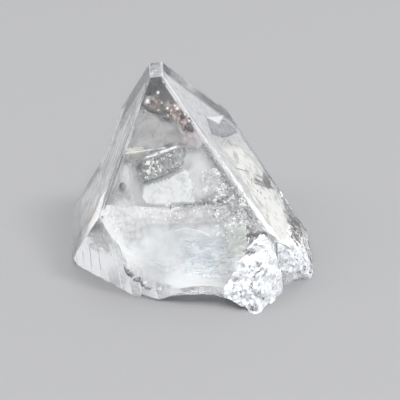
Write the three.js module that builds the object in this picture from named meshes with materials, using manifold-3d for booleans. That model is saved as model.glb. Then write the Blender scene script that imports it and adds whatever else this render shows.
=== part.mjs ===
// A loose apophyllite crystal: the pointed end of one tetragonal crystal, broken off its matrix.
// Four steep pyramid faces meet in a blunt tip, upright prism faces cut their lower corners, a few
// blocks have grown in parallel beside the main one, and the foot is a rough conchoidal break.
//
// Crystal frame: origin where the front, left and right pyramid faces would meet in a point, Z along
// the crystal's long axis, -Y out of the front face, +X out of the right face. Lengths in millimetres.

import * as THREE from 'three';
import { ConvexGeometry } from 'three/addons/geometries/ConvexGeometry.js';
import { ImprovedNoise } from 'three/addons/math/ImprovedNoise.js';
import { TessellateModifier } from 'three/addons/modifiers/TessellateModifier.js';
import { mergeVertices } from 'three/addons/utils/BufferGeometryUtils.js';
import Module from 'manifold-3d';

const wasm = await Module();
wasm.setup();

// ---- Driving dimensions ----

const PYRAMID_SLOPE = 60.4; // degrees between a pyramid face and the basal plane
const TIP_HEIGHT = 19.3; // floor to the point where the pyramid faces would meet
const TIP_PLACE = [-4.1, 6.12]; // where that point is, seen from above
const LEAN_LEFT = 7.6; // degrees that the long axis leans towards -X
const LEAN_BACK = 0.5; // degrees that it leans backwards
const TURN = 1.6; // degrees about the vertical

const BACK_OFFSET = 1.15; // the back face lies this far outside the common point
const TIP_CUT = 1.05; // height of point that the small basal facet takes off
const DEPTH_BELOW = 24; // how far the blocks run down before the foot is cut

// Azimuths of the pyramid faces; the left one is turned slightly, as growth on it was uneven.
const FRONT = -90;
const RIGHT = 0.8;
const BACK = 90;
const LEFT = 179.3;

// Distances of the prism faces from the long axis, by azimuth in degrees. A plain one carries no
// growth lines.
const MAIN_PRISM = [
  { azimuth: -177, distance: 10.3 },
  { azimuth: -135, distance: 9.42 },
  { azimuth: -116, distance: 9.75 },
  { azimuth: -105, distance: 9.95 },
  { azimuth: -45, distance: 11.6 },
  { azimuth: 0, distance: 11.75 },
  { azimuth: 45, distance: 8.81, plain: true },
  { azimuth: 135, distance: 6.64 },
];
const BACK_LEFT_PRISM = [
  { azimuth: -177, distance: 10.3 },
  { azimuth: -135, distance: 9.42 },
  { azimuth: -45, distance: -4.5 },
  { azimuth: 90, distance: 9.2 },
  { azimuth: 135, distance: 12.9 },
];

const STRIATION_PITCH = 0.62; // mean distance between two growth lines on a prism face
const STRIATION_DEPTH = 0.07;
const STRIATION_MARGIN = 0.4; // plain strip beside each upright edge

const BREAK_GRAIN = 0.42; // edge length of the facets on a rough break
const HACKLE_SIZE = 1.1; // width of the lumps on the rough foot
const HACKLE_HEIGHT = 0.34;

// ---- Solids ----

function solid(geometry) {
  const plain = geometry.clone();
  plain.deleteAttribute('normal');
  plain.deleteAttribute('uv');
  const merged = mergeVertices(plain, 1e-5);
  const vertProperties = new Float32Array(merged.attributes.position.array);
  const triVerts = new Uint32Array(merged.index.array);
  return new wasm.Manifold(new wasm.Mesh({ numProp: 3, vertProperties, triVerts }));
}

function geometryOf(body) {
  const mesh = body.getMesh();
  const geometry = new THREE.BufferGeometry();
  geometry.setAttribute('position', new THREE.BufferAttribute(mesh.vertProperties, 3));
  geometry.setIndex(new THREE.BufferAttribute(mesh.triVerts, 1));
  return geometry;
}

// A face of the crystal as a plane whose normal points out of it. Slope 90 is a prism face, 0 the
// basal plane; the distance is measured from the origin along the normal.
function face(azimuth, slope, distance) {
  const around = THREE.MathUtils.degToRad(azimuth);
  const up = THREE.MathUtils.degToRad(slope);
  const normal = new THREE.Vector3(
    Math.sin(up) * Math.cos(around),
    Math.sin(up) * Math.sin(around),
    Math.cos(up),
  );
  return new THREE.Plane(normal, -distance);
}

function pyramid(azimuth, distance) {
  return face(azimuth, PYRAMID_SLOPE, distance);
}

function prism(azimuth, distance) {
  return face(azimuth, 90, distance);
}

// The point that three planes share, or null where they are parallel.
function corner(a, b, c) {
  const rows = new THREE.Matrix3().set(
    a.normal.x, a.normal.y, a.normal.z,
    b.normal.x, b.normal.y, b.normal.z,
    c.normal.x, c.normal.y, c.normal.z,
  );
  if (Math.abs(rows.determinant()) < 1e-6) {
    return null;
  }
  return new THREE.Vector3(-a.constant, -b.constant, -c.constant).applyMatrix3(rows.invert());
}

// The convex block that lies behind all of the given faces.
function block(faces) {
  const corners = [];
  for (let i = 0; i < faces.length; i += 1) {
    for (let j = i + 1; j < faces.length; j += 1) {
      for (let k = j + 1; k < faces.length; k += 1) {
        const point = corner(faces[i], faces[j], faces[k]);
        const inside = point && faces.every((plane) => plane.distanceToPoint(point) < 1e-6);
        if (inside && !corners.some((other) => other.distanceTo(point) < 1e-4)) {
          corners.push(point);
        }
      }
    }
  }
  return solid(new ConvexGeometry(corners));
}

// ---- Rough breaks ----

const noise = new ImprovedNoise();

// Hackly relief: large lumps with smaller ones on them, the same at the same place every time.
function hackle(point, grain, amplitude) {
  const coarse = noise.noise(point.x / grain, point.y / grain, point.z / grain);
  const fine = noise.noise(point.x * 2.7 / grain, point.y * 2.7 / grain, point.z * 2.7 / grain);
  return amplitude * (coarse + 0.5 * fine);
}

// A closed shape whose surface is split into small facets and pushed in and out along its normals.
function roughened(geometry, facet, grain, amplitude) {
  const plain = geometry.clone();
  plain.deleteAttribute('uv');
  const fine = new TessellateModifier(facet, 12).modify(plain.index ? plain.toNonIndexed() : plain);
  fine.deleteAttribute('normal');
  const merged = mergeVertices(fine, 1e-4);
  merged.computeVertexNormals();
  const position = merged.attributes.position;
  const normal = merged.attributes.normal;
  const point = new THREE.Vector3();
  const outward = new THREE.Vector3();
  for (let i = 0; i < position.count; i += 1) {
    point.fromBufferAttribute(position, i);
    outward.fromBufferAttribute(normal, i);
    point.addScaledVector(outward, hackle(point, grain, amplitude));
    position.setXYZ(i, point.x, point.y, point.z);
  }
  return solid(merged);
}

// ---- The grown crystal ----

const FLOOR = face(0, 180, DEPTH_BELOW - 0.5);

// One side of the prism's cross-section, from one corner up to the next: shallow steps, parallel to
// the long axis, that come from the crystal growing in thin layers.
function striatedSide(start, end, random) {
  const along = end.clone().sub(start);
  const length = along.length();
  along.normalize();
  const inward = new THREE.Vector2(-along.y, along.x);
  const at = (distance, depth) => start.clone().addScaledVector(along, distance)
    .addScaledVector(inward, depth);
  const points = [];
  let distance = STRIATION_MARGIN + STRIATION_PITCH * random();
  let depth = 0;
  while (distance < length - STRIATION_MARGIN - STRIATION_PITCH) {
    const nextDepth = depth > 0 ? 0 : STRIATION_DEPTH * (0.4 + 0.9 * random());
    points.push(at(distance, depth));
    points.push(at(distance + STRIATION_DEPTH, nextDepth));
    depth = nextDepth;
    distance += STRIATION_PITCH * (0.35 + 1.3 * random());
  }
  if (depth > 0) {
    points.push(at(distance, depth));
    points.push(at(distance + STRIATION_DEPTH, 0));
  }
  return points;
}

function prismCorners(sides) {
  const basal = face(0, 0, 0);
  return sides.map((side, index) => {
    const before = sides[(index + sides.length - 1) % sides.length];
    const point = corner(
      prism(before.azimuth, before.distance),
      prism(side.azimuth, side.distance),
      basal,
    );
    return new THREE.Vector2(point.x, point.y);
  });
}

function seededRandom(seed) {
  let state = seed;
  return () => {
    state = (state * 1664525 + 1013904223) % 4294967296;
    return state / 4294967296;
  };
}

function striatedPrism(sides, seed) {
  const random = seededRandom(seed);
  const corners = prismCorners(sides);
  const points = sides.flatMap((side, index) => {
    const end = corners[(index + 1) % corners.length];
    return [corners[index], ...(side.plain ? [] : striatedSide(corners[index], end, random))];
  });
  const outline = new THREE.Shape(points);
  const shape = new THREE.ExtrudeGeometry(outline, { depth: DEPTH_BELOW, bevelEnabled: false });
  shape.translate(0, 0, -DEPTH_BELOW);
  return solid(shape);
}

// The main block: the pyramid with its basal facet, cut to the striated prism.
function mainBlock() {
  const point = block([
    pyramid(FRONT, 0),
    pyramid(RIGHT, 0),
    pyramid(BACK, BACK_OFFSET),
    pyramid(LEFT, 0.02),
    face(0, 0, -TIP_CUT),
    FLOOR,
  ]);
  return point.intersect(striatedPrism(MAIN_PRISM, 7));
}

// Blocks that grew in parallel with the main one. Each shares its face directions and stands a
// little proud of it or back from it, so a low ledge follows its outline.
function backLeftBlock() {
  const point = block([
    pyramid(FRONT, -0.5),
    pyramid(LEFT, 0.08),
    pyramid(BACK, -2.7),
    prism(0, 4),
    prism(180, 14),
    FLOOR,
  ]);
  return point.intersect(striatedPrism(BACK_LEFT_PRISM, 11));
}

function leftTerrace() {
  return block([
    pyramid(FRONT, 0.02),
    pyramid(LEFT, 0.13),
    pyramid(BACK, -6.6),
    prism(135, 4.7),
    prism(170, 8.9),
    prism(-135, 9.36),
    prism(-116, 9.7),
    prism(-105, 9.9),
    prism(0, 0),
    FLOOR,
  ]);
}

function rightShoulder() {
  return block([
    pyramid(RIGHT, 0.03),
    pyramid(BACK, 1.42),
    prism(45, 8.92),
    prism(180, -4.9),
    prism(-90, -5.9),
    FLOOR,
  ]);
}

// Growth on the back of the main block stopped short of the left edge, so a step runs down the back
// beside that edge.
function backStep() {
  return block([
    prism(-45, -5.35),
    pyramid(LEFT, -0.8),
    prism(135, 14),
    prism(45, 14),
    prism(-135, 14),
    face(0, 0, 0),
    FLOOR,
  ]);
}

// ---- The broken foot, in the resting frame: Z up from the floor ----

// Rough lumps where the crystal tore off its neighbours, left on the lower front corner.
function roughFoot() {
  const lobe = [
    [5.6, -1.75, 6.5], [6.5, -2.3, 5.5], [4.0, -2.85, 4.6], [3.4, -3.65, 3.1], [2.0, -4.5, 1.5],
    [7.0, -2.3, 3.2], [2.6, -4.9, 0.5], [4.0, -4.9, -0.4], [5.2, -5.6, -0.4], [6.8, -3.4, -0.4],
    [7.7, -1.2, -0.4], [5.4, -4.8, 1.7], [4.4, 0.5, -0.4], [2.4, -2.0, 0.4], [5.2, 0.6, 3.0],
  ];
  const heel = [
    [6.9, -1.9, 5.2], [8.7, -0.2, 2.6], [10.3, 0.6, 0.9], [10.4, 0.5, -0.4], [8.1, -0.5, -0.4],
    [7.2, -1.7, 2.4], [10.3, 3.4, -0.4], [6.4, 2.6, -0.4], [6.4, 1.0, 3.4], [9.6, 2.4, 1.6],
  ];
  return [lobe, heel].map((corners) => {
    const points = corners.map((values) => new THREE.Vector3(...values));
    return roughened(new ConvexGeometry(points), BREAK_GRAIN, HACKLE_SIZE, HACKLE_HEIGHT);
  });
}

// Hollow scars of the break: each a flattened ball, either smooth with faint ripples round the point
// of the blow or hackly all over.
function scar({ at, radii, tilt, grain }) {
  const ball = new THREE.IcosahedronGeometry(1, 12);
  const position = ball.attributes.position;
  const point = new THREE.Vector3();
  for (let i = 0; i < position.count; i += 1) {
    point.fromBufferAttribute(position, i);
    const ring = Math.hypot(point.x - 0.45, point.y + 0.2);
    const ripple = 1 + 0.006 * Math.sin(ring * 26) + hackle(point, 0.5, grain);
    point.multiplyScalar(ripple);
    position.setXYZ(i, point.x, point.y, point.z);
  }
  ball.scale(...radii);
  ball.rotateX(THREE.MathUtils.degToRad(tilt[0]));
  ball.rotateY(THREE.MathUtils.degToRad(tilt[1]));
  ball.translate(...at);
  return solid(ball);
}

function footScars() {
  const scars = [
    { at: [0.3, -4.4, -1.6], radii: [5.2, 3.7, 2.9], tilt: [0, 0], grain: 0 },
    { at: [10.9, 5.4, -1.7], radii: [3.0, 4.2, 2.4], tilt: [0, -6], grain: 0.03 },
    { at: [5.9, 9.8, -2.0], radii: [4.3, 4.0, 3.0], tilt: [0, 0], grain: 0.05 },
    { at: [9.5, 15.5, 0.0], radii: [5.5, 5.2, 4.4], tilt: [-10, 12], grain: 0.03 },
  ];
  return scars.map(scar);
}

// A flat break low on the back: what lies beyond a plane that faces back and down.
function backBreak() {
  return block([
    face(-90, 55, -10.8),
    face(90, 90, 30),
    face(0, 90, 30),
    face(180, 90, 30),
    face(0, 0, 30),
    face(0, 180, 2),
  ]);
}

// Small flat chips knocked off the edges near the foot.
function edgeChips() {
  const chips = [
    { at: [-4.3, -3.9, -0.1], size: [2.8, 1.2, 1.0], turn: [38, 6, -24] },
    { at: [-2.6, -4.75, 0.9], size: [2.2, 0.8, 0.9], turn: [-22, 12, -8] },
    { at: [10.95, 1.2, 0.5], size: [1.0, 1.4, 1.2], turn: [10, 30, 20] },
    { at: [-11.95, 2.6, 0.4], size: [0.7, 1.0, 1.1], turn: [20, -25, 10] },
  ];
  return chips.map(({ at, size, turn }) => {
    const box = new THREE.BoxGeometry(...size);
    box.rotateX(THREE.MathUtils.degToRad(turn[0]));
    box.rotateY(THREE.MathUtils.degToRad(turn[1]));
    box.rotateZ(THREE.MathUtils.degToRad(turn[2]));
    box.translate(...at);
    return solid(box);
  });
}

// ---- Assembly ----

function standing(body) {
  return body.rotate([-LEAN_BACK, -LEAN_LEFT, TURN]).translate([...TIP_PLACE, TIP_HEIGHT]);
}

function crystal() {
  let grown = mainBlock().subtract(backStep());
  [backLeftBlock(), leftTerrace(), rightShoulder()].forEach((part) => {
    grown = grown.add(part);
  });
  let whole = standing(grown);
  roughFoot().forEach((lump) => {
    whole = whole.add(lump);
  });
  [...footScars(), backBreak(), ...edgeChips()].forEach((hollow) => {
    whole = whole.subtract(hollow);
  });
  const under = new THREE.BoxGeometry(80, 80, 40).translate(0, 0, -20);
  return whole.subtract(solid(under));
}

const material = new THREE.MeshStandardMaterial({
  color: 0xe6e8e6,
  roughness: 0.12,
  metalness: 0,
});

const mesh = new THREE.Mesh(geometryOf(crystal()), material);
mesh.name = 'crystal';

const bounds = new THREE.Box3().setFromObject(mesh);
const middle = bounds.getCenter(new THREE.Vector3());
mesh.position.set(-middle.x, -middle.y, -bounds.min.z);

const group = new THREE.Group();
group.name = 'apophyllite';
group.add(mesh);

export default group;
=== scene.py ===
import math
import random

import bmesh
import bpy
from mathutils import Euler, Matrix, Vector, noise


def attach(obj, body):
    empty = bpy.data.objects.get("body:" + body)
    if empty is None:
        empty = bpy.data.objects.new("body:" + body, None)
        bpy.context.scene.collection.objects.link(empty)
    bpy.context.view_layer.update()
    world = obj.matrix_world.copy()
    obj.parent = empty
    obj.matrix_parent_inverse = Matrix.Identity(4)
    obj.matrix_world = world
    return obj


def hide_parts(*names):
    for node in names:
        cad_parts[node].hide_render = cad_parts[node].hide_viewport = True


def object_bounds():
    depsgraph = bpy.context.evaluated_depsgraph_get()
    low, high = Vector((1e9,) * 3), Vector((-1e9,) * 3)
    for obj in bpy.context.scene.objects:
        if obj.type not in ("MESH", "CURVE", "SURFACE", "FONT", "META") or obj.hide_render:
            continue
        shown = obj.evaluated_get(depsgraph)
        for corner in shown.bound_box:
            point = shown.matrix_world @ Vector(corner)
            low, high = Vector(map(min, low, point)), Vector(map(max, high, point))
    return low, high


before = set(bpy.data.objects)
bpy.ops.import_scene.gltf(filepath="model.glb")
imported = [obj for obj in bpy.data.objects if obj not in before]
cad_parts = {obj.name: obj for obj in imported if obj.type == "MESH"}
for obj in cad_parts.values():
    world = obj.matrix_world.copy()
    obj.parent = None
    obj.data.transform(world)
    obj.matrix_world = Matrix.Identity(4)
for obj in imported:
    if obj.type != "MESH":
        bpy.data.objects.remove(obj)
cad_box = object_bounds()

# ---- The crystal ----
# One tetragonal crystal of clear apophyllite, grown with four steep pyramid faces over upright
# prism faces and torn off its matrix at the foot. The growth faces are flat and glassy, the prism
# faces carry fine lines along the long axis, and the break is hollow, rippled and frosted.

MM = 0.001
LEAN = Euler((math.radians(-0.5), math.radians(-7.6), math.radians(1.6)))
COMMON_POINT = Vector((-3.30, 0.90, 19.3)) * MM  # where the front, left and right faces meet
PYRAMID_SLOPE = math.radians(60.4)
PRISM_SLOPE = math.radians(90)
BACK_BREAK_SLOPE = math.radians(125)  # of the flat break low on the back
FRONT = -90  # azimuths of the pyramid faces, in degrees
RIGHT = 0.8
BACK = 90
LEFT = 179.3
FRONT_LEFT = -135  # azimuth of the prism face between the front and left faces
PRISM_AZIMUTHS = (-177, FRONT_LEFT, -116, -105, -45, 0, 45, 90, 135, 170, 180)
FACE_TOLERANCE = math.cos(math.radians(0.6))
RISER_TOLERANCE = 0.004  # how far the riser of a growth line leans from the long axis
BACK_BREAK_TOLERANCE = 0.99
LEVEL_TOLERANCE = 0.9999
REST_HEIGHT = 0.01 * MM  # the level part that the crystal rests on lies below this
WELD_DISTANCE = 0.0005 * MM
FLAT_ANGLE = math.radians(0.05)  # faces that lean less than this make one flat face
LONG_EDGE = 0.9 * MM  # shorter edges between pyramid faces aren't worn
SHARP_EDGE = math.radians(20)
EDGE_WEAR = 0.13 * MM  # how far the wear reaches from an edge between pyramid faces
BREAK_GRID = 0.2 * MM  # the break's edges are cut down to this, to carry its relief
COARSE_HACKLE = 0.55 * MM
COARSE_HEIGHT = 0.045 * MM
FINE_HACKLE = 0.21 * MM
FINE_HEIGHT = 0.03 * MM
RELIEF_DROP = 0.025 * MM  # the relief lies this far below the solid's surface
SOFT_ANGLE = math.radians(38)  # the break is shaded as one surface across flatter edges

crystal_turn = LEAN.to_matrix()
long_axis = crystal_turn @ Vector((0, 0, 1))


def face_normal(azimuth, slope):
    """The outward normal of a crystal face, in the frame's axes."""
    around = math.radians(azimuth)
    flat = Vector((math.cos(around), math.sin(around), 0)) * math.sin(slope)
    return crystal_turn @ (flat + Vector((0, 0, math.cos(slope))))


pyramid_normals = [face_normal(a, PYRAMID_SLOPE) for a in (FRONT, RIGHT, BACK, LEFT)] + [long_axis]
prism_normals = [face_normal(a, PRISM_SLOPE) for a in PRISM_AZIMUTHS]
front_left_normal = face_normal(FRONT_LEFT, PRISM_SLOPE)
back_break_normal = Vector((0, math.sin(BACK_BREAK_SLOPE), math.cos(BACK_BREAK_SLOPE)))


def is_pyramid(face):
    return any(face.normal.dot(normal) > FACE_TOLERANCE for normal in pyramid_normals)


def is_grown(face):
    """True for a face of the grown crystal, or for the thin riser of a growth line."""
    if is_pyramid(face) or abs(face.normal.dot(long_axis)) < RISER_TOLERANCE:
        return True
    return any(face.normal.dot(normal) > FACE_TOLERANCE for normal in prism_normals)


def is_rest(face):
    return face.normal.z < -LEVEL_TOLERANCE and face.calc_center_median().z < REST_HEIGHT


def is_broken(face):
    """True for the break, apart from the level part that the crystal rests on."""
    return not is_grown(face) and not is_rest(face)


def relief(place):
    """Height of the break's fine relief at a place: hackle with smaller hackle on it."""
    coarse = noise.noise(place / COARSE_HACKLE)
    fine = noise.noise(place / FINE_HACKLE)
    return COARSE_HEIGHT * coarse + FINE_HEIGHT * fine


crystal_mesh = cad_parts["crystal"].data.copy()
crystal_mesh.name = "crystal_clear"
crystal = bpy.data.objects.new("crystal_clear", crystal_mesh)
bpy.context.scene.collection.objects.link(crystal)

bm = bmesh.new()
bm.from_mesh(crystal_mesh)
bmesh.ops.remove_doubles(bm, verts=bm.verts, dist=WELD_DISTANCE)
bm.normal_update()
bmesh.ops.dissolve_limit(
    bm, angle_limit=FLAT_ANGLE, verts=bm.verts, edges=bm.edges,
    use_dissolve_boundaries=False
)
bm.normal_update()

# Wear blunts the long edges between the pyramid faces.
worn = bm.faces.layers.int.new("worn")
long_edges = [
    e for e in bm.edges
    if e.calc_length() > LONG_EDGE and e.is_convex and e.calc_face_angle(0) > SHARP_EDGE
    and all(is_pyramid(f) for f in e.link_faces)
]
blunted = bmesh.ops.bevel(
    bm, geom=long_edges, offset=EDGE_WEAR, offset_type="OFFSET", segments=2, profile=0.5,
    affect="EDGES", material=-1, clamp_overlap=False
)
for f in blunted["faces"]:
    f[worn] = 1
bm.normal_update()

# The break gets a finer grid, and on it the hackle that the solid is too coarse for.
broken = [f for f in bm.faces if is_broken(f) and not f[worn]]
for _ in range(2):
    coarse_edges = {e for f in broken for e in f.edges if e.calc_length() > BREAK_GRID}
    bmesh.ops.subdivide_edges(bm, edges=list(coarse_edges), cuts=1, use_grid_fill=True)
    wide = [f for f in bm.faces if len(f.verts) > 4 and is_broken(f) and not f[worn]]
    bmesh.ops.triangulate(bm, faces=wide)
    bm.normal_update()
    broken = [f for f in bm.faces if is_broken(f) and not f[worn]]
inner = [
    v for v in bm.verts
    if v.link_faces and all(is_broken(f) and not f[worn] for f in v.link_faces)
]
bmesh.ops.smooth_vert(
    bm, verts=inner, factor=0.5, use_axis_x=True, use_axis_y=True, use_axis_z=True
)
bm.normal_update()
raised = [(v, v.normal * (relief(v.co) - RELIEF_DROP)) for v in inner]
for v, step in raised:
    v.co += step
lowest, highest = (Vector(corner) for corner in cad_box)
for v in bm.verts:
    v.co = [min(max(c, low), high) for c, low, high in zip(v.co, lowest, highest)]
bm.normal_update()

# How far each face is from clear and glassy: frost roughens it, bruise whitens it.
frost = bm.faces.layers.float.new("frost")
bruise = bm.faces.layers.float.new("bruise")
TIP = 17 * MM  # the worn edges above this are those of the blunt tip
UPPER_RIGHT = 11.5 * MM  # the right-hand edge is less bruised above this
TIP_FACET = 15 * MM  # level faces above this belong to the tip
FOOT_LEFT = 3.0 * MM  # the sugary part of the break lies to the right of this
FOOT_BACK = -1.3 * MM  # and it is whitest in front of this
RIM_FRONT = -8.6 * MM  # the thin rim of the break, lowest at the front
RIM_TOP = 2.2 * MM
CORNER_LEAN = 0.03  # the bruised corner face may lean this far from the long axis
CORNER_TURN = 0.2


def finish(face):
    """Frost and bruise of a face."""
    centre = face.calc_center_median()
    if face[worn] and centre.z > TIP:
        return 0.35, 0.35
    if face[worn] and centre.x > COMMON_POINT.x and centre.z > UPPER_RIGHT:
        return 0.35, 0.15
    if face[worn] and centre.y > COMMON_POINT.y:
        return 0.3, 0.1
    if face[worn]:
        return 0.35, 0.35
    if face.normal.dot(long_axis) > FACE_TOLERANCE and centre.z > TIP_FACET:
        return 0.25, 0.2
    if is_grown(face) and not is_pyramid(face):
        return 0.12, 0.15
    upright = abs(face.normal.dot(long_axis)) < CORNER_LEAN
    if upright and face.normal.dot(front_left_normal) > CORNER_TURN:
        return 0.3, 0.9
    if is_grown(face):
        return 0.0, 0.0
    if is_rest(face):
        return 0.2, 0.0
    if face.normal.dot(back_break_normal) > BACK_BREAK_TOLERANCE:
        return 0.35, 0.25
    if centre.x > FOOT_LEFT and centre.y < FOOT_BACK:
        return 0.3, 0.8
    if centre.x > FOOT_LEFT:
        return 0.25, 0.4
    if centre.y < RIM_FRONT and centre.z < RIM_TOP:
        return 0.25, 0.3
    return 0.16, 0.05


for f in bm.faces:
    f[frost], f[bruise] = finish(f)
for f in bm.faces:
    f.smooth = is_broken(f) and not f[worn]
for e in bm.edges:
    faces = e.link_faces
    soft = len(faces) == 2 and faces[0].smooth and faces[1].smooth
    e.smooth = soft and e.calc_face_angle(0) < SOFT_ANGLE
bmesh.ops.triangulate(bm, faces=bm.faces)
bm.to_mesh(crystal_mesh)
bm.free()


class Socket:
    """A shader socket that takes part in ordinary arithmetic."""

    def __init__(self, tree, link=None):
        self.tree = tree
        self.link = link

    def node(self, kind, settings=None, inputs=None, output=0):
        """A new node of a kind, with its settings and inputs; gives one of its outputs."""
        made = self.tree.nodes.new(kind)
        for name, value in (settings or {}).items():
            setattr(made, name, value)
        for name, value in (inputs or {}).items():
            if isinstance(value, Socket):
                self.tree.links.new(value.link, made.inputs[name])
            else:
                made.inputs[name].default_value = value
        return Socket(self.tree, made.outputs[output])

    def __add__(self, other):
        return self.node("ShaderNodeMath", {"operation": "ADD"}, {0: self, 1: other})

    def __mul__(self, other):
        return self.node("ShaderNodeMath", {"operation": "MULTIPLY"}, {0: self, 1: other})

    def step(self, low, high):
        """0 below low, 1 above high and a straight rise between."""
        return self.node(
            "ShaderNodeMapRange", {"clamp": True},
            {"Value": self, "From Min": low, "From Max": high}
        )

    def grain(self, size, detail=2.0):
        """Noise at this place, with lumps of the given size."""
        return self.node(
            "ShaderNodeTexNoise", None,
            {"Vector": self, "Scale": 1.0 / size, "Detail": detail, "Roughness": 0.6}
        )

    def tint(self, first, second):
        """A colour between two, with this as the share of the second."""
        made = self.tree.nodes.new("ShaderNodeMix")
        made.data_type = "RGBA"
        self.tree.links.new(self.link, made.inputs[0])
        made.inputs[6].default_value = first
        made.inputs[7].default_value = second
        return Socket(self.tree, made.outputs[2])


def new_material(name):
    """An empty material: its tree's first socket, its output node and the place on the piece."""
    made = bpy.data.materials.new(name)
    made.use_nodes = True
    made.node_tree.nodes.clear()
    start = Socket(made.node_tree)
    output = made.node_tree.nodes.new("ShaderNodeOutputMaterial")
    return made, start, output, start.node("ShaderNodeTexCoord", output="Object")


REFRACTION = 1.535  # apophyllite's index

clear, start, output, place = new_material("apophyllite")
tree = clear.node_tree
frosted = start.node("ShaderNodeAttribute", {"attribute_name": "frost"}, output="Fac")
bruised = start.node("ShaderNodeAttribute", {"attribute_name": "bruise"}, output="Fac")
sugar = place.grain(0.4 * MM, 3.0)
fleck = place.grain(0.28 * MM, 2.0)
ripple = place.grain(0.5 * MM, 1.0)
height = sugar * bruised * 2.0 + ripple * frosted.step(0.1, 0.2) * 0.4
bump = start.node(
    "ShaderNodeBump", None, {"Height": height, "Strength": 0.35, "Distance": 0.1 * MM}
)
glass = start.node(
    "ShaderNodeBsdfPrincipled", None,
    {
        "Base Color": (1, 1, 1, 1),
        "Transmission Weight": 1.0,
        "IOR": REFRACTION,
        "Roughness": frosted * (sugar * 0.8 + 0.6),
        "Normal": bump,
    }
)
shattered = start.node(
    "ShaderNodeBsdfPrincipled", None,
    {
        "Base Color": fleck.step(0.40, 0.55).tint((0.42, 0.44, 0.49, 1), (0.86, 0.88, 0.92, 1)),
        "Roughness": 0.45,
        "Normal": bump,
    }
)
share = bruised * sugar.step(0.38, 0.58)
both = start.node("ShaderNodeMixShader", None, {0: share, 1: glass, 2: shattered})
absorb = start.node(
    "ShaderNodeVolumeAbsorption", None, {"Color": (0.86, 0.95, 0.92, 1), "Density": 5.0}
)
tree.links.new(both.link, output.inputs["Surface"])
tree.links.new(absorb.link, output.inputs["Volume"])
crystal_mesh.materials.clear()
crystal_mesh.materials.append(clear)

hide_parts("crystal")
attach(crystal, "root")

# ---- Iron stain near the tip ----
# Healed cracks under the front face, not far below the tip. Iron-bearing water has stained them a
# patchy brownish pink. A dark film nearer the tip is painted dark reflection. They are wavy films,
# far thinner than a hair. Dark grains sit on them, and white spots and pale grains on them are
# painted glints.


CORNER_REACH = 9.42 * MM  # from the common point out to the front left prism face
FILM_THICKNESS = 0.004 * MM
FILM_GRID = 0.4 * MM
FILM_RIM = 0.25  # the widest rim of a film, in millimetres
WAVE_LENGTH = 1.3 * MM


def face_at(azimuth):
    """A face's outward normal, and the point on it that positions count from."""
    if azimuth == FRONT_LEFT:
        return front_left_normal, COMMON_POINT + front_left_normal * CORNER_REACH
    return face_normal(azimuth, PYRAMID_SLOPE), COMMON_POINT


def under(azimuth, across, down, depth):
    """A place beneath a face: millimetres across it, down it and into it."""
    around = math.radians(azimuth)
    outward, start = face_at(azimuth)
    rightward = crystal_turn @ Vector((-math.sin(around), math.cos(around), 0))
    downward = rightward.cross(outward)
    return start + (rightward * across + downward * down - outward * depth) * MM


def distance_inside(point, outline):
    """How far a point lies from the nearest side of a closed outline."""
    nearest = 1.0
    for first, second in zip(outline, outline[1:] + outline[:1]):
        along = second - first
        share = (point - first).dot(along) / along.length_squared
        nearest = min(nearest, (point - first - along * min(max(share, 0), 1)).length)
    return nearest


def piece(name, bm, material):
    """Makes a piece that rides in the crystal from its bmesh."""
    mesh = bpy.data.meshes.new(name)
    bm.to_mesh(mesh)
    bm.free()
    mesh.materials.append(material)
    made = bpy.data.objects.new(name, mesh)
    bpy.context.scene.collection.objects.link(made)
    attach(made, "root")


def film(name, azimuth, depth, corners, material, fade=0.4, wave=0.05):
    """Makes a thin closed film beneath a face, with its edge fading over some millimetres."""
    outline = [under(azimuth, across, down, depth) for across, down in corners]
    into = -face_at(azimuth)[0]
    bm = bmesh.new()
    bm.faces.new([bm.verts.new(place) for place in outline])
    rim = min(fade, FILM_RIM) * MM
    bmesh.ops.inset_region(bm, faces=bm.faces[:], thickness=rim, use_even_offset=True)
    bmesh.ops.triangulate(bm, faces=bm.faces[:])
    for _ in range(4):
        coarse = [e for e in bm.edges if e.calc_length() > FILM_GRID]
        bmesh.ops.subdivide_edges(bm, edges=coarse, cuts=1)
        bmesh.ops.triangulate(bm, faces=bm.faces[:])
    for v in bm.verts:
        v.co += into * noise.noise(v.co / WAVE_LENGTH) * wave * MM
    bmesh.ops.recalc_face_normals(bm, faces=bm.faces[:])
    bmesh.ops.solidify(bm, geom=bm.faces[:], thickness=FILM_THICKNESS)
    bmesh.ops.recalc_face_normals(bm, faces=bm.faces[:])
    cover = bm.verts.layers.float.new("cover")
    for v in bm.verts:
        v[cover] = min(distance_inside(v.co, outline) / (fade * MM), 1.0)
    piece(name, bm, material)


def film_material(name, colours, size, low, high, most, run=None):
    """A film's finish: two colours in patches, and patchy cover that is at most the given share.

    The patches are four times as long as they are wide where they run along a direction.
    """
    made, start, output, place = new_material(name)
    if run:
        place = start.node(
            "ShaderNodeMapping", {"vector_type": "TEXTURE"},
            {
                "Vector": place,
                "Rotation": run.to_track_quat("Z", "Y").to_euler(),
                "Scale": (1, 1, 4),
            }
        )
    edge = start.node("ShaderNodeAttribute", {"attribute_name": "cover"}, output="Fac")
    surface = start.node(
        "ShaderNodeBsdfPrincipled", None,
        {
            "Base Color": place.grain(size * 0.6, 3.0).step(0.4, 0.6).tint(*colours),
            "Roughness": 0.6,
            "Alpha": place.grain(size, 4.0).step(low, high) * edge * most,
        }
    )
    made.node_tree.links.new(surface.link, output.inputs["Surface"])
    return made


def grain_material(name, colours, size):
    """A solid inclusion's finish: two colours in small patches."""
    made, start, output, place = new_material(name)
    surface = start.node(
        "ShaderNodeBsdfPrincipled", None,
        {"Base Color": place.grain(size).step(0.35, 0.65).tint(*colours), "Roughness": 0.45}
    )
    made.node_tree.links.new(surface.link, output.inputs["Surface"])
    return made


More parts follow.
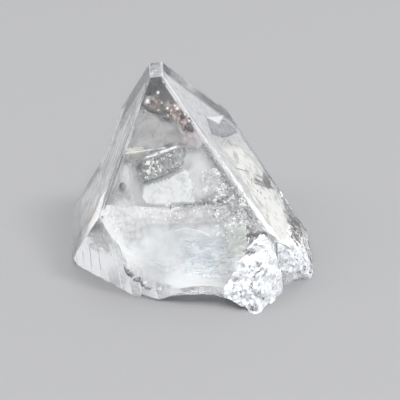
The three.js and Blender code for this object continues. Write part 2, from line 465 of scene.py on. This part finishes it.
def add_needle(bm, azimuth, depth, first, last, width):
    """A tapering needle beneath a face, from one place on it to another."""
    start = under(azimuth, *first, depth)
    end = under(azimuth, *last, depth)
    turn = (end - start).to_track_quat("Z", "Y").to_matrix().to_4x4()
    bmesh.ops.create_cone(
        bm, cap_ends=True, segments=6, radius1=width * 0.5 * MM, radius2=width * 0.3 * MM,
        depth=(end - start).length, matrix=Matrix.Translation((start + end) / 2) @ turn
    )


def add_line(bm, azimuth, depth, places, width):
    """Needles end to end through several places."""
    for first, last in zip(places, places[1:]):
        add_needle(bm, azimuth, depth, first, last, width)


def add_grain(bm, azimuth, depth, place, size, seed=1):
    """A small blocky grain beneath a face, turned at random."""
    dice = random.Random(seed)
    turn = Euler([dice.uniform(0, 3) for _ in range(3)]).to_matrix().to_4x4()
    stretch = Matrix.Diagonal((dice.uniform(0.6, 1.3), dice.uniform(0.4, 1.0), 0.5, 1))
    bmesh.ops.create_cube(
        bm, size=size * MM,
        matrix=Matrix.Translation(under(azimuth, *place, depth)) @ turn @ stretch
    )


def scatter(bm, azimuth, depths, outline, sizes, count, seed):
    """Grains at random places inside an outline on a face, at random depths beneath it."""
    dice = random.Random(seed)
    across = [place[0] for place in outline]
    down = [place[1] for place in outline]
    sides = list(zip(outline, outline[1:] + outline[:1]))
    placed = 0
    while placed < count:
        x = dice.uniform(min(across), max(across))
        y = dice.uniform(min(down), max(down))
        crossings = sum(
            (first[1] > y) != (last[1] > y)
            and x < first[0] + (last[0] - first[0]) * (y - first[1]) / (last[1] - first[1])
            for first, last in sides
        )
        if crossings % 2:
            add_grain(
                bm, azimuth, dice.uniform(*depths), (x, y), dice.uniform(*sizes), seed + placed
            )
            placed += 1


SPOT_CORNERS = 10


def spot(name, place, length, width, turn, material, depth=0.34):
    """Makes a soft oval film beneath the front face, turned by some degrees."""
    slant = math.radians(turn)
    outline = []
    for corner in range(SPOT_CORNERS):
        around = math.radians(corner * (360 // SPOT_CORNERS))
        along = math.cos(around) * length / 2
        beside = math.sin(around) * width / 2
        outline.append((
            place[0] + along * math.cos(slant) - beside * math.sin(slant),
            place[1] + along * math.sin(slant) + beside * math.cos(slant)
        ))
    film(name, FRONT, depth, outline, material, fade=width * 0.4, wave=0)


rust = film_material(
    "iron_stain", ((0.26, 0.195, 0.18, 1), (0.72, 0.62, 0.60, 1)), 0.45 * MM, 0.36, 0.52, 0.75
)
film(
    "iron_stain_left", FRONT, 0.5,
    [(-1.35, 2.85), (-0.62, 2.7), (0.05, 3.2), (0.3, 3.99), (0.25, 4.6), (-0.2, 4.6),
     (-0.95, 4.1), (-1.5, 3.6)],
    rust, fade=0.25, wave=0.1
)
film(
    "iron_stain_right", FRONT, 0.5,
    [(0.4, 3.75), (0.97, 3.35), (1.56, 3.7), (2.22, 4.88), (2.81, 5.95), (2.9, 6.7), (1.99, 6.66),
     (1.53, 5.97), (1.0, 5.4), (0.3, 5.0)],
    rust, fade=0.3, wave=0.1
)
blush = film_material(
    "pink_stain", ((0.64, 0.54, 0.56, 1), (0.74, 0.66, 0.68, 1)), 0.7 * MM, 0.2, 0.6, 0.6
)
film(
    "pink_stain_left", FRONT, 0.42,
    [(-1.27, 2.84), (-0.86, 2.75), (-0.62, 2.97), (-0.76, 3.4), (-1.16, 3.62), (-1.41, 3.5)],
    blush, fade=0.2
)
film(
    "pink_stain_right", FRONT, 0.55,
    [(1.3, 5.9), (2.9, 5.8), (3.6, 7.4), (3.4, 8.2), (1.4, 8.0)], blush, fade=0.9
)
# Dark films of painted dark reflection: near the tip, at the crack's left end and low behind the
# right face.
painted_dark_reflection = film_material(
    "painted_dark_reflection", ((0.04, 0.04, 0.045, 1), (0.22, 0.22, 0.23, 1)), 0.5 * MM, 0.3, 0.55, 0.6
)
# The dark films near the tip are painted dark reflection.
film(
    "painted_dark_reflection_tip", FRONT, 0.6,
    [(-0.55, 1.35), (0.56, 1.45), (0.85, 2.2), (0.6, 2.6), (0, 2.6), (-0.6, 2.9), (-1.1, 3.05),
     (-1.0, 2.37)],
    painted_dark_reflection, fade=0.3, wave=0.1
)
film(
    "painted_dark_reflection_tip_edge", FRONT, 0.4,
    [(-0.85, 2.0), (-0.35, 2.2), (-0.5, 2.9), (-1.12, 3.1)], painted_dark_reflection, fade=0.15
)

# White films: painted glints on the stain and painted highlights at the cracks' edges.
glint = film_material(
    "glint", ((0.96, 0.88, 0.86, 1), (1.0, 1.0, 1.0, 1)), 0.5 * MM, 0.1, 0.4, 0.95
)
painted_highlight = film_material(
    "painted_highlight", ((0.93, 0.95, 0.98, 1), (1.0, 1.0, 1.0, 1)), 0.4 * MM, 0.05, 0.3, 0.95
)
umber = film_material(
    "umber", ((0.08, 0.07, 0.06, 1), (0.24, 0.20, 0.18, 1)), 0.4 * MM, 0.2, 0.45, 0.9
)
# The white oval films on the stain are painted glints.
for number, (place, length, width, turn) in enumerate([
    ((-1.08, 3.36), 0.6, 0.8, 20), ((-0.04, 2.75), 0.5, 0.45, 0), ((-0.5, 3.02), 1.0, 0.25, -30),
    ((0.68, 4.22), 0.75, 0.42, 20), ((1.49, 4.36), 0.6, 0.55, 0), ((0.55, 4.88), 0.75, 0.32, 10),
    ((2.15, 5.1), 0.35, 0.6, 0), ((1.2, 5.5), 0.4, 0.35, 0)
]):
    spot(f"glint_{number}", place, length, width, turn, glint)
for number, (place, length, width, turn) in enumerate([
    ((0.36, 4.5), 0.85, 0.32, 15), ((0.37, 5.22), 0.8, 0.26, 10), ((0.4, 2.18), 0.4, 0.3, 0),
    ((0.78, 2.16), 0.45, 0.3, 20), ((-0.86, 2.45), 0.45, 0.95, 10), ((2.45, 5.6), 0.3, 1.2, -25),
    ((2.1, 6.2), 1.0, 0.35, 10), ((2.2, 6.6), 0.9, 0.22, 0), ((1.85, 5.0), 0.3, 0.5, 0)
]):
    spot(f"umber_spot_{number}", place, length, width, turn, umber, 0.38)

dark = grain_material("dark_grain", ((0.05, 0.05, 0.055, 1), (0.22, 0.20, 0.20, 1)), 0.3 * MM)
# Pale grains are painted glints and sparkle.
painted_glint = grain_material("painted_glint_grain", ((0.97, 0.97, 0.97, 1), (1.0, 1.0, 1.0, 1)), 0.3 * MM)
bm = bmesh.new()
add_line(bm, FRONT, 0.4, [(-1.57, 3.66), (-1.04, 4.14), (-0.47, 4.62)], 0.13)
for seed, (place, size) in enumerate([
    ((0.15, 4.37), 0.25), ((0.45, 4.5), 0.3), ((0.71, 4.64), 0.2), ((0.17, 5.02), 0.2),
    ((0.4, 5.2), 0.28), ((0.66, 5.27), 0.2), ((1.88, 5.14), 0.3), ((2.48, 5.41), 0.25),
    ((2.6, 5.7), 0.2), ((1.7, 5.9), 0.22), ((2.3, 6.1), 0.3), ((2.6, 6.4), 0.25),
    ((0.4, 2.15), 0.25), ((0.68, 2.05), 0.2), ((-0.96, 6.59), 0.24), ((-1.2, 3.0), 0.2)
]):
    add_grain(bm, FRONT, 0.44, place, size, seed)
scatter(
    bm, FRONT, (0.4, 0.5), [(1.2, 4.2), (2.0, 4.6), (2.9, 6.6), (1.7, 6.6)], (0.1, 0.26), 30, 10
)
scatter(
    bm, FRONT, (0.4, 0.5), [(-1.2, 3.0), (0.0, 3.2), (0.6, 5.0), (-0.4, 4.4)], (0.1, 0.22), 16, 14
)
piece("dark_grains_tip", bm, dark)
# Pale grains on the stain are painted glints.
bm = bmesh.new()
for seed, (place, size) in enumerate([
    ((0.0, 2.72), 0.2), ((0.6, 4.24), 0.2), ((1.49, 4.4), 0.2), ((0.6, 4.9), 0.18),
    ((0.91, 4.48), 0.2), ((2.4, 5.62), 0.2), ((0.85, 4.75), 0.16),
    ((1.3, 4.1), 0.18), ((-0.2, 4.3), 0.16), ((2.1, 5.0), 0.2), ((0.2, 3.7), 0.16)
]):
    add_grain(bm, FRONT, 0.34, place, size, seed)
piece("painted_glint_grains_tip", bm, painted_glint)

# ---- The inner crack ----
# A flat crack inside the crystal behind the middle of the front face, closed again at its edges and
# lined with grains: the pale ones are painted glints and the grey ones painted shade. Its grey film
# is partly painted dark reflection, and its dark left end is painted dark reflection. A white film
# along its upper edge is a painted highlight, with grey films of painted shadow along its top,
# right and bottom.

crack = film_material(
    "crack", ((0.30, 0.31, 0.31, 1), (0.74, 0.76, 0.75, 1)), 0.6 * MM, 0.2, 0.5, 0.72
)
# The crack's grey film is partly painted dark reflection.
film(
    "inner_crack", FRONT, 1.0,
    [(-2.95, 8.48), (-2.12, 8.5), (-0.69, 8.27), (1.09, 7.87), (1.7, 7.94), (1.44, 9.75),
     (0.67, 9.98), (-0.08, 10.22), (-1.44, 10.54), (-2.4, 10.64), (-2.82, 9.95), (-3.01, 9.29)],
    crack, fade=0.12, wave=0.08
)
film(
    "inner_crack_end_painted_dark_reflection", FRONT, 0.8,
    [(-2.95, 8.53), (-2.18, 8.58), (-2.2, 9.2), (-2.3, 9.66), (-2.6, 9.71), (-2.93, 9.39)],
    painted_dark_reflection, fade=0.25
)
# A white film along the crack's upper edge is a painted highlight.
film(
    "crack_painted_highlight", FRONT, 0.5,
    [(-2.2, 8.62), (-2.05, 8.3), (-0.69, 7.98), (1.1, 7.6), (1.2, 7.86), (-0.69, 8.36)],
    painted_highlight, fade=0.06, wave=0.02
)
bm = bmesh.new()
for seed, (place, size) in enumerate([
    ((-1.76, 8.9), 0.45), ((-1.82, 9.71), 0.45), ((-1.27, 8.9), 0.28), ((-0.94, 8.94), 0.25),
    ((-1.16, 9.74), 0.25), ((-0.79, 9.7), 0.28), ((-0.9, 9.3), 0.18), ((-1.4, 9.4), 0.2),
    ((0.3, 8.5), 0.25), ((0.0, 8.4), 0.16), ((0.7, 8.2), 0.18), ((-0.3, 8.7), 0.16)
]):
    add_grain(bm, FRONT, 0.6, place, size, seed)
scatter(
    bm, FRONT, (0.7, 0.95), [(-2.2, 8.6), (-0.5, 8.4), (-0.6, 10.0), (-2.2, 10.3)],
    (0.1, 0.2), 22, 60
)
scatter(
    bm, FRONT, (0.7, 0.95), [(-0.4, 8.4), (1.3, 8.1), (1.2, 9.7), (-0.4, 10.0)],
    (0.08, 0.14), 12, 70
)
piece("painted_glint_grains_crack", bm, painted_glint)
# Grey films of painted shadow.
shadow = film_material(
    "shadow", ((0.16, 0.16, 0.17, 1), (0.36, 0.35, 0.36, 1)), 0.5 * MM, 0.25, 0.5, 0.75
)
film(
    "crack_shadow", FRONT, 0.7,
    [(-2.15, 8.3), (-1.2, 7.75), (-0.28, 7.5), (1.02, 7.28), (2.0, 7.6), (1.95, 7.85),
     (1.02, 7.62), (-0.28, 7.85), (-1.07, 8.05)],
    shadow, fade=0.1
)
film(
    "crack_shadow_right", FRONT, 0.66, [(1.5, 7.8), (1.78, 7.8), (1.68, 8.9), (1.42, 8.9)],
    shadow, fade=0.1
)
film(
    "crack_shadow_below", FRONT, 0.8,
    [(-2.5, 10.45), (-1.44, 10.3), (-0.08, 9.98), (0.67, 9.75), (0.7, 10.0), (-0.08, 10.28),
     (-1.44, 10.62), (-2.45, 10.75)],
    shadow, fade=0.12
)
# Grey grains of painted shade.
painted_shade_grains = grain_material("shadow_grain", ((0.20, 0.20, 0.21, 1), (0.48, 0.47, 0.48, 1)), 0.3 * MM)
bm = bmesh.new()
scatter(
    bm, FRONT, (0.65, 0.95), [(-2.8, 8.6), (1.3, 8.1), (1.2, 9.7), (-2.3, 10.4)],
    (0.1, 0.24), 30, 90
)
scatter(
    bm, FRONT, (0.4, 0.7), [(-4.6, 10.35), (-4.1, 10.5), (-4.0, 11.15), (-4.6, 11.0)],
    (0.2, 0.4), 12, 130
)
piece("shadow_grains_crack", bm, painted_shade_grains)

# ---- Milky veils ----
# Clouds of bubbles too fine to see, in flat layers parallel to the front face. They whiten the
# crystal below the crack and near the right-hand edge, and end straight where growth changed.

milk = film_material(
    "milk", ((0.90, 0.93, 0.93, 1), (1.0, 1.0, 1.0, 1)), 0.9 * MM, 0.1, 0.5, 0.85
)
film(
    "milky_veil", FRONT, 1.5,
    [(-2.5, 10.74), (-1.48, 10.64), (-0.12, 10.36), (1.36, 9.86), (1.89, 9.98), (2.06, 11.5),
     (2.03, 13.1), (0.96, 12.96), (-0.33, 13.02), (-2.47, 12.65), (-2.84, 11.97)],
    milk, fade=0.15, wave=0.1
)
milk_thin = film_material(
    "thin_milk", ((0.78, 0.79, 0.80, 1), (0.98, 0.98, 0.98, 1)), 0.7 * MM, 0.2, 0.5, 0.65
)
haze = film_material(
    "haze", ((0.92, 0.92, 0.94, 1), (1.0, 1.0, 1.0, 1)), 2.0 * MM, 0.1, 0.5, 0.45
)
cloud = film_material(
    "cloud", ((0.84, 0.86, 0.88, 1), (0.95, 0.97, 0.98, 1)), 1.4 * MM, 0.1, 0.4, 0.75
)
mist = film_material(
    "mist", ((0.47, 0.46, 0.46, 1), (0.63, 0.62, 0.62, 1)), 1.5 * MM, 0.1, 0.5, 0.6
)
film(
    "misty_veil", FRONT, 1.7,
    [(-2.1, 4.3), (-0.4, 4.5), (1.2, 5.4), (2.6, 7.0), (3.0, 7.9), (0.0, 9.0), (-4.4, 9.0)],
    mist, fade=0.8, wave=0.2
)
film(
    "hazy_veil", FRONT, 2.1,
    [(-4.3, 8.0), (3.4, 8.0), (5.3, 12.6), (0.0, 13.8), (-6.4, 12.6)], haze, fade=0.8, wave=0.2
)
film(
    "hazy_veil_left", FRONT, 1.3,
    [(-4.2, 8.4), (-3.2, 8.6), (-3.2, 10.4), (-3.6, 11.6), (-5.6, 11.8)], haze, fade=0.5
)
film(
    "hazy_veil_below", FRONT, 1.9,
    [(-5.6, 13.0), (0.0, 13.6), (4.6, 13.0), (5.4, 17.0), (3.0, 19.0), (-1.5, 19.0), (-5.2, 16.6)],
    cloud, fade=1.5, wave=0.2
)
film(
    "milky_veil_left", FRONT, 1.6,
    [(-5.4, 10.8), (-3.4, 11.0), (-2.6, 13.4), (-2.6, 15.6), (-4.0, 16.8), (-6.0, 15.1),
     (-6.8, 13.2)],
    milk_thin, fade=1.4
)
# Pale blue streaks low on the front face are a painted reflection of the sky off the rippled break.
painted_sky_reflection = film_material(
    "painted_sky_reflection", ((0.72, 0.81, 0.90, 1), (0.96, 0.99, 1.0, 1)), 0.29 * MM, 0.36, 0.52, 0.75,
    run=Vector((1, 0, 0.12))
)
film(
    "painted_sky_reflection_low", FRONT, 1.2,
    [(0.2, 15.6), (3.42, 15.85), (5.31, 18.4), (4.4, 20.2), (1.85, 20.3), (-0.34, 19.6)],
    painted_sky_reflection, fade=1.5, wave=0.1
)
dusk = film_material(
    "dusk", ((0.74, 0.71, 0.72, 1), (0.97, 0.96, 0.96, 1)), 0.7 * MM, 0.2, 0.5, 0.5
)
film(
    "dusky_band", FRONT, 0.9,
    [(-2.84, 12.8), (-0.75, 12.9), (2.4, 13.2), (5.08, 13.2), (5.06, 15.1), (2.6, 15.1),
     (-0.56, 14.9), (-2.78, 14.5)],
    dusk, fade=0.8, wave=0.1
)
sallow = film_material(
    "sallow", ((0.88, 0.87, 0.70, 1), (0.97, 0.97, 0.88, 1)), 0.8 * MM, 0.2, 0.5, 0.6
)
film(
    "sallow_veil", FRONT, 0.6, [(-3.6, 7.2), (-1.9, 7.4), (-1.9, 8.0), (-3.8, 8.0)],
    sallow, fade=0.3
)
sage = film_material(
    "sage", ((0.70, 0.74, 0.69, 1), (0.88, 0.90, 0.87, 1)), 0.5 * MM, 0.2, 0.5, 0.55
)
film(
    "sage_veil", FRONT, 0.9, [(4.3, 15.2), (6.4, 15.3), (6.4, 18.1), (4.3, 18.1)],
    sage, fade=0.3
)

# Pale grains near the right-hand edge and in the dusky band are painted sparkle, and a fine pale
# line across the veil is a painted highlight. Grey grains there are painted shade.
RIGHT_PART = [(3.0, 10.2), (4.6, 10.2), (7.4, 15.6), (6.6, 18.2), (3.6, 16.4), (2.4, 12.6)]
bm = bmesh.new()
scatter(bm, FRONT, (0.3, 1.0), RIGHT_PART, (0.08, 0.3), 190, 300)
scatter(
    bm, FRONT, (0.4, 0.6), [(3.8, 10.1), (4.3, 10.1), (4.9, 10.9), (4.2, 10.6)],
    (0.2, 0.4), 8, 5
)
scatter(
    bm, FRONT, (0.4, 0.6), [(4.0, 11.9), (4.5, 11.9), (4.5, 12.4), (4.0, 12.4)],
    (0.2, 0.45), 5, 7
)
scatter(
    bm, FRONT, (0.5, 0.9), [(-2.6, 12.6), (2.6, 12.9), (2.6, 14.8), (-2.6, 14.4)],
    (0.08, 0.2), 30, 8
)
add_line(bm, FRONT, 0.9, [(-0.15, 15.3), (0.79, 15.15), (2.09, 15.59), (2.93, 16.15)], 0.09)
piece("painted_glint_grains_right", bm, painted_glint)
bm = bmesh.new()
scatter(bm, FRONT, (0.3, 1.0), RIGHT_PART, (0.08, 0.22), 34, 500)
scatter(
    bm, FRONT, (0.6, 0.9), [(-2.6, 12.7), (3.0, 13.05), (6.1, 12.6), (6.1, 13.0), (3.0, 13.5),
    (-2.6, 13.1)], (0.1, 0.24), 26, 700
)
scatter(
    bm, FRONT, (0.3, 0.7), [(6.2, 15.2), (7.2, 15.6), (6.6, 18.4), (6.0, 18.2)],
    (0.15, 0.4), 26, 800
)
piece("shadow_grains_right", bm, painted_shade_grains)

# A dark film just inside the right-hand edge is painted shadow.
film(
    "edge_shadow", FRONT, 0.25,
    [(3.15, 7.8), (3.42, 7.9), (4.76, 10.5), (6.1, 13.2), (7.2, 15.5), (7.0, 15.6), (5.85, 13.3),
     (4.5, 10.6)],
    shadow, fade=0.1
)

# ---- Inclusions behind the right face ----
# A smoky crack lies high behind the right face, with a white film at its top that is a painted
# highlight.
# Below it a cream film is a painted band of light. On the band sit a comb of dark mineral needles
# and a few dark grains; a grey film beside the comb is its painted shadow, and a dark film low at
# the right is painted dark reflection.

frosty = film_material(
    "frosty", ((0.70, 0.70, 0.72, 1), (0.88, 0.88, 0.90, 1)), 0.8 * MM, 0.1, 0.45, 0.8
)
film(
    "veil_right", RIGHT, 0.5,
    [(-0.7, 1.6), (0.7, 1.6), (5.6, 11.4), (6.0, 12.2), (5.8, 13.7), (4.3, 17.0), (3.1, 18.2),
     (1.2, 20.3), (-7.0, 17.0), (-3.6, 8.4)],
    frosty, fade=0.4
)
violet = film_material(
    "violet_crack", ((0.38, 0.38, 0.43, 1), (0.62, 0.62, 0.67, 1)), 1.0 * MM, 0.1, 0.45, 0.65
)
film(
    "right_crack", RIGHT, 0.35,
    [(0.99, 7.74), (5.0, 10.99), (5.5, 12.9), (5.0, 13.1), (2.87, 11.78), (0.8, 10.43),
     (-1.6, 8.5)],
    violet, fade=0.4, wave=0.03
)
painted_light_band = film_material(
    "painted_light_band", ((0.98, 0.98, 0.93, 1), (1.0, 1.0, 0.99, 1)), 1.2 * MM, 0.25, 0.5, 0.95
)
# A white sliver at the crack's top is a painted highlight.
film(
    "right_crack_painted_highlight", RIGHT, 0.2,
    [(0.3, 7.3), (5.6, 11.0), (2.4, 10.0)], painted_highlight, fade=0.05
)
# A cream film is a painted band of light on the right face.
film(
    "right_painted_light_band", RIGHT, 0.4,
    [(-1.38, 9.64), (0.8, 10.8), (3.24, 12.93), (3.48, 16.71), (2.2, 19.6), (-0.25, 20.8),
     (-4.4, 20.6), (-7.4, 18.6), (-6.6, 16.6), (-5.2, 14.04), (-2.97, 12.09)],
    painted_light_band, fade=1.0, wave=0.03
)
bm = bmesh.new()
add_line(bm, RIGHT, 0.25, [(0.21, 9.98), (1.62, 10.97), (3.64, 12.11)], 0.2)
add_needle(bm, RIGHT, 0.25, (1.26, 11.13), (0.85, 11.88), 0.25)
add_needle(bm, RIGHT, 0.25, (-0.3, 11.89), (-0.34, 12.37), 0.25)
add_needle(bm, RIGHT, 0.25, (-2.53, 12.18), (-0.26, 14.43), 0.14)
for first, last in [
    ((0.68, 15.49), (2.07, 17.35)), ((-0.3, 15.2), (1.84, 18.2)), ((-0.77, 15.09), (1.84, 18.43)),
    ((-1.28, 15.15), (1.17, 17.73))
]:
    add_needle(bm, RIGHT, 0.3, first, last, 0.2)
add_line(bm, RIGHT, 0.3, [(-0.95, 14.72), (-1.99, 14.46), (-2.46, 14.65), (-2.27, 15.2)], 0.1)
for seed, (place, size) in enumerate([
    ((-2.25, 15.44), 0.3), ((-1.94, 16.01), 0.3), ((-2.09, 16.61), 0.25)
]):
    add_grain(bm, RIGHT, 0.35, place, size, seed)
scatter(
    bm, RIGHT, (0.2, 0.35), [(0.06, 19.65), (0.43, 21.91), (-0.85, 22.6), (-4.6, 21.7),
    (-4.5, 20.4)], (0.12, 0.4), 70, 900
)
needle = grain_material("needle", ((0.11, 0.11, 0.12, 1), (0.36, 0.35, 0.36, 1)), 0.25 * MM)
piece("dark_needles_right", bm, needle)
# A grey film beside the comb is its painted shadow.
film(
    "right_comb_shadow", RIGHT, 0.34,
    [(3.0, 16.77), (3.3, 17.6), (1.9, 18.2), (0.32, 17.34), (1.0, 16.47)], shadow, fade=0.3
)
# A dark film low at the right is painted dark reflection.
film(
    "right_painted_dark_reflection", RIGHT, 0.3,
    [(0.9, 21.3), (1.0, 22.5), (-0.4, 22.6), (-3.4, 21.9), (-4.0, 20.9), (-2.4, 20.4)],
    painted_dark_reflection, fade=0.2
)

# ---- Marks behind the left faces ----
# Growth lines, pale as painted highlights, and veils streaked along the crystal's edge lie just
# behind the left faces, with a film that iron has tinted a pale brown and a dark strip of painted
# shadow by the left edge. Broken bits sit where the front face meets the foot: their pale grains
# are painted glints and their dark grains painted shade.

bm = bmesh.new()
for places in (
    [(-2.27, 15.2), (-2.4, 16.6), (-2.54, 17.8)], [(-1.3, 14.2), (-1.25, 16.2), (-1.33, 17.9)],
    [(0.29, 13.4), (0.4, 14.4), (0.62, 15.4)], [(1.6, 13.5), (2.0, 14.6), (2.2, 15.3)],
    [(-3.45, 16.4), (-3.5, 17.6)]
):
    add_line(bm, FRONT_LEFT, 0.14, places, 0.11)
add_line(bm, LEFT, 0.12, [(2.67, 10.24), (1.0, 12.86), (-0.6, 14.9)], 0.06)
add_line(bm, LEFT, 0.12, [(4.0, 11.4), (2.4, 13.6)], 0.05)
scatter(
    bm, FRONT, (1.4, 1.8), [(-4.9, 17.6), (-4.3, 17.9), (-2.8, 19.6), (-1.8, 20.4), (-3.2, 20.1)],
    (0.15, 0.4), 12, 1100
)
piece("painted_glint_ridge_left", bm, painted_glint)
streaks = film_material(
    "streaks", ((0.80, 0.80, 0.82, 1), (1.0, 1.0, 1.0, 1)), 0.6 * MM, 0.3, 0.6, 0.95,
    run=face_at(FRONT)[0].cross(face_at(LEFT)[0])
)
film(
    "veil_left", LEFT, 0.7,
    [(-1.1, 5.4), (1.3, 6.9), (4.2, 11.2), (3.4, 13.4), (0.0, 15.0), (-2.4, 13.8), (-2.8, 11.0)],
    streaks, fade=0.6
)
film(
    "veil_left_low", LEFT, 0.45,
    [(-2.2, 12.6), (2.4, 12.9), (3.8, 13.4), (3.2, 18.4), (-1.0, 19.0), (-5.2, 19.2), (-3.4, 15.0)],
    streaks, fade=0.7
)
film(
    "veil_front_left", FRONT_LEFT, 0.2,
    [(-0.15, 12.0), (1.1, 13.3), (1.9, 14.6), (0.4, 15.6), (-1.6, 16.0), (-3.0, 15.9),
     (-2.5, 14.4)],
    streaks, fade=1.1, wave=0.02
)
# A dark strip beside the left edge is painted shadow.
film(
    "edge_shadow_left", LEFT, 0.2,
    [(2.2, 6.0), (2.8, 6.0), (4.9, 10.5), (6.2, 13.0), (5.4, 13.0), (3.7, 10.5)], shadow, fade=0.25
)
tawny = film_material(
    "tawny", ((0.82, 0.64, 0.52, 1), (0.95, 0.86, 0.80, 1)), 1.0 * MM, 0.2, 0.45, 0.45
)
film(
    "tawny_film_left", LEFT, 0.2,
    [(2.2, 12.9), (5.5, 13.5), (5.2, 14.4), (4.2, 16.4), (3.0, 18.0), (1.6, 17.4), (1.2, 15.0)],
    tawny, fade=1.7
)
bm = bmesh.new()
add_grain(bm, LEFT, 0.2, (6.3, 13.3), 0.3)
scatter(
    bm, FRONT, (1.5, 1.9), [(-5.0, 17.4), (-4.5, 17.9), (-3.2, 19.6), (-2.0, 20.2), (-3.4, 20.0),
    (-4.7, 18.6)], (0.12, 0.36), 28, 1000
)
piece("painted_shade_grains_left", bm, painted_shade_grains)

# ---- Floor ----
# A plain pale board, level and matt. It is wide enough that its edge is never seen past the
# crystal, and lies a hair below it so that the two never share a plane.

FLOOR_HALF = 1.5
FLOOR_DROP = 0.01 * MM

floor_mesh = bpy.data.meshes.new("floor")
bm = bmesh.new()
bmesh.ops.create_grid(bm, x_segments=1, y_segments=1, size=FLOOR_HALF)
bm.to_mesh(floor_mesh)
bm.free()
floor = bpy.data.objects.new("floor", floor_mesh)
bpy.context.scene.collection.objects.link(floor)
board = bpy.data.materials.new("board")
board.use_nodes = True
board_surface = board.node_tree.nodes["Principled BSDF"].inputs
board_surface["Base Color"].default_value = (0.20, 0.20, 0.205, 1)
board_surface["Roughness"].default_value = 0.9
floor_mesh.materials.append(board)
floor.location.z = -FLOOR_DROP

# ---- Light ----
# Four square softboxes: a wide cool one behind and above, like a window, a smaller key light in
# front, a small one at the right and a wide warm one at the left. The pale room fills the rest.

LIGHT_DISTANCE = 0.6


def softbox(name, azimuth, elevation, side, power, colour):
    """Makes a square light that faces the crystal, its azimuth counted from the front."""
    light = bpy.data.lights.new(name, "AREA")
    light.shape = "RECTANGLE"
    light.size = side
    light.size_y = side
    light.energy = power
    light.color = colour
    lamp = bpy.data.objects.new(name, light)
    bpy.context.scene.collection.objects.link(lamp)
    around = math.radians(azimuth)
    up = math.radians(elevation)
    towards = Vector(
        (math.sin(around) * math.cos(up), -math.cos(around) * math.cos(up), math.sin(up))
    )
    lamp.location = towards * LIGHT_DISTANCE
    lamp.rotation_euler = (-towards).to_track_quat("-Z", "Y").to_euler()


softbox("window", 175, 66, 0.4, 1.3, (0.93, 0.97, 1.0))
softbox("front", 10, 62, 0.22, 3.15, (1.0, 1.0, 1.0))
softbox("right", 70, 58, 0.12, 2.0, (1.0, 0.99, 0.96))
softbox("side", -80, 42, 0.3, 1.0, (1.0, 0.98, 0.94))

world = bpy.data.worlds.new("room")
world.use_nodes = True
room = world.node_tree.nodes["Background"].inputs
room["Color"].default_value = (0.97, 0.98, 1.0, 1)
room["Strength"].default_value = 0.91
bpy.context.scene.world = world
bpy.context.scene.view_settings.view_transform = "Standard"

# ---- Camera ----
# A long lens square to the front of the crystal and 32 degrees above the board, so that it looks
# almost straight at the large front face and shows little perspective.

CAMERA_ELEVATION = math.radians(32)
CAMERA_DISTANCE = 0.243
AIM = Vector((0.80, -5.22, 8.54)) * MM

camera_data = bpy.data.cameras.new("camera")
camera_data.lens = 243
camera_data.sensor_width = 36
camera_data.clip_start = 0.01
camera = bpy.data.objects.new("camera", camera_data)
bpy.context.scene.collection.objects.link(camera)
back = Vector((0, -math.cos(CAMERA_ELEVATION), math.sin(CAMERA_ELEVATION)))
camera.location = AIM + back * CAMERA_DISTANCE
camera.rotation_euler = (-back).to_track_quat("-Z", "Y").to_euler()
bpy.context.scene.camera = camera
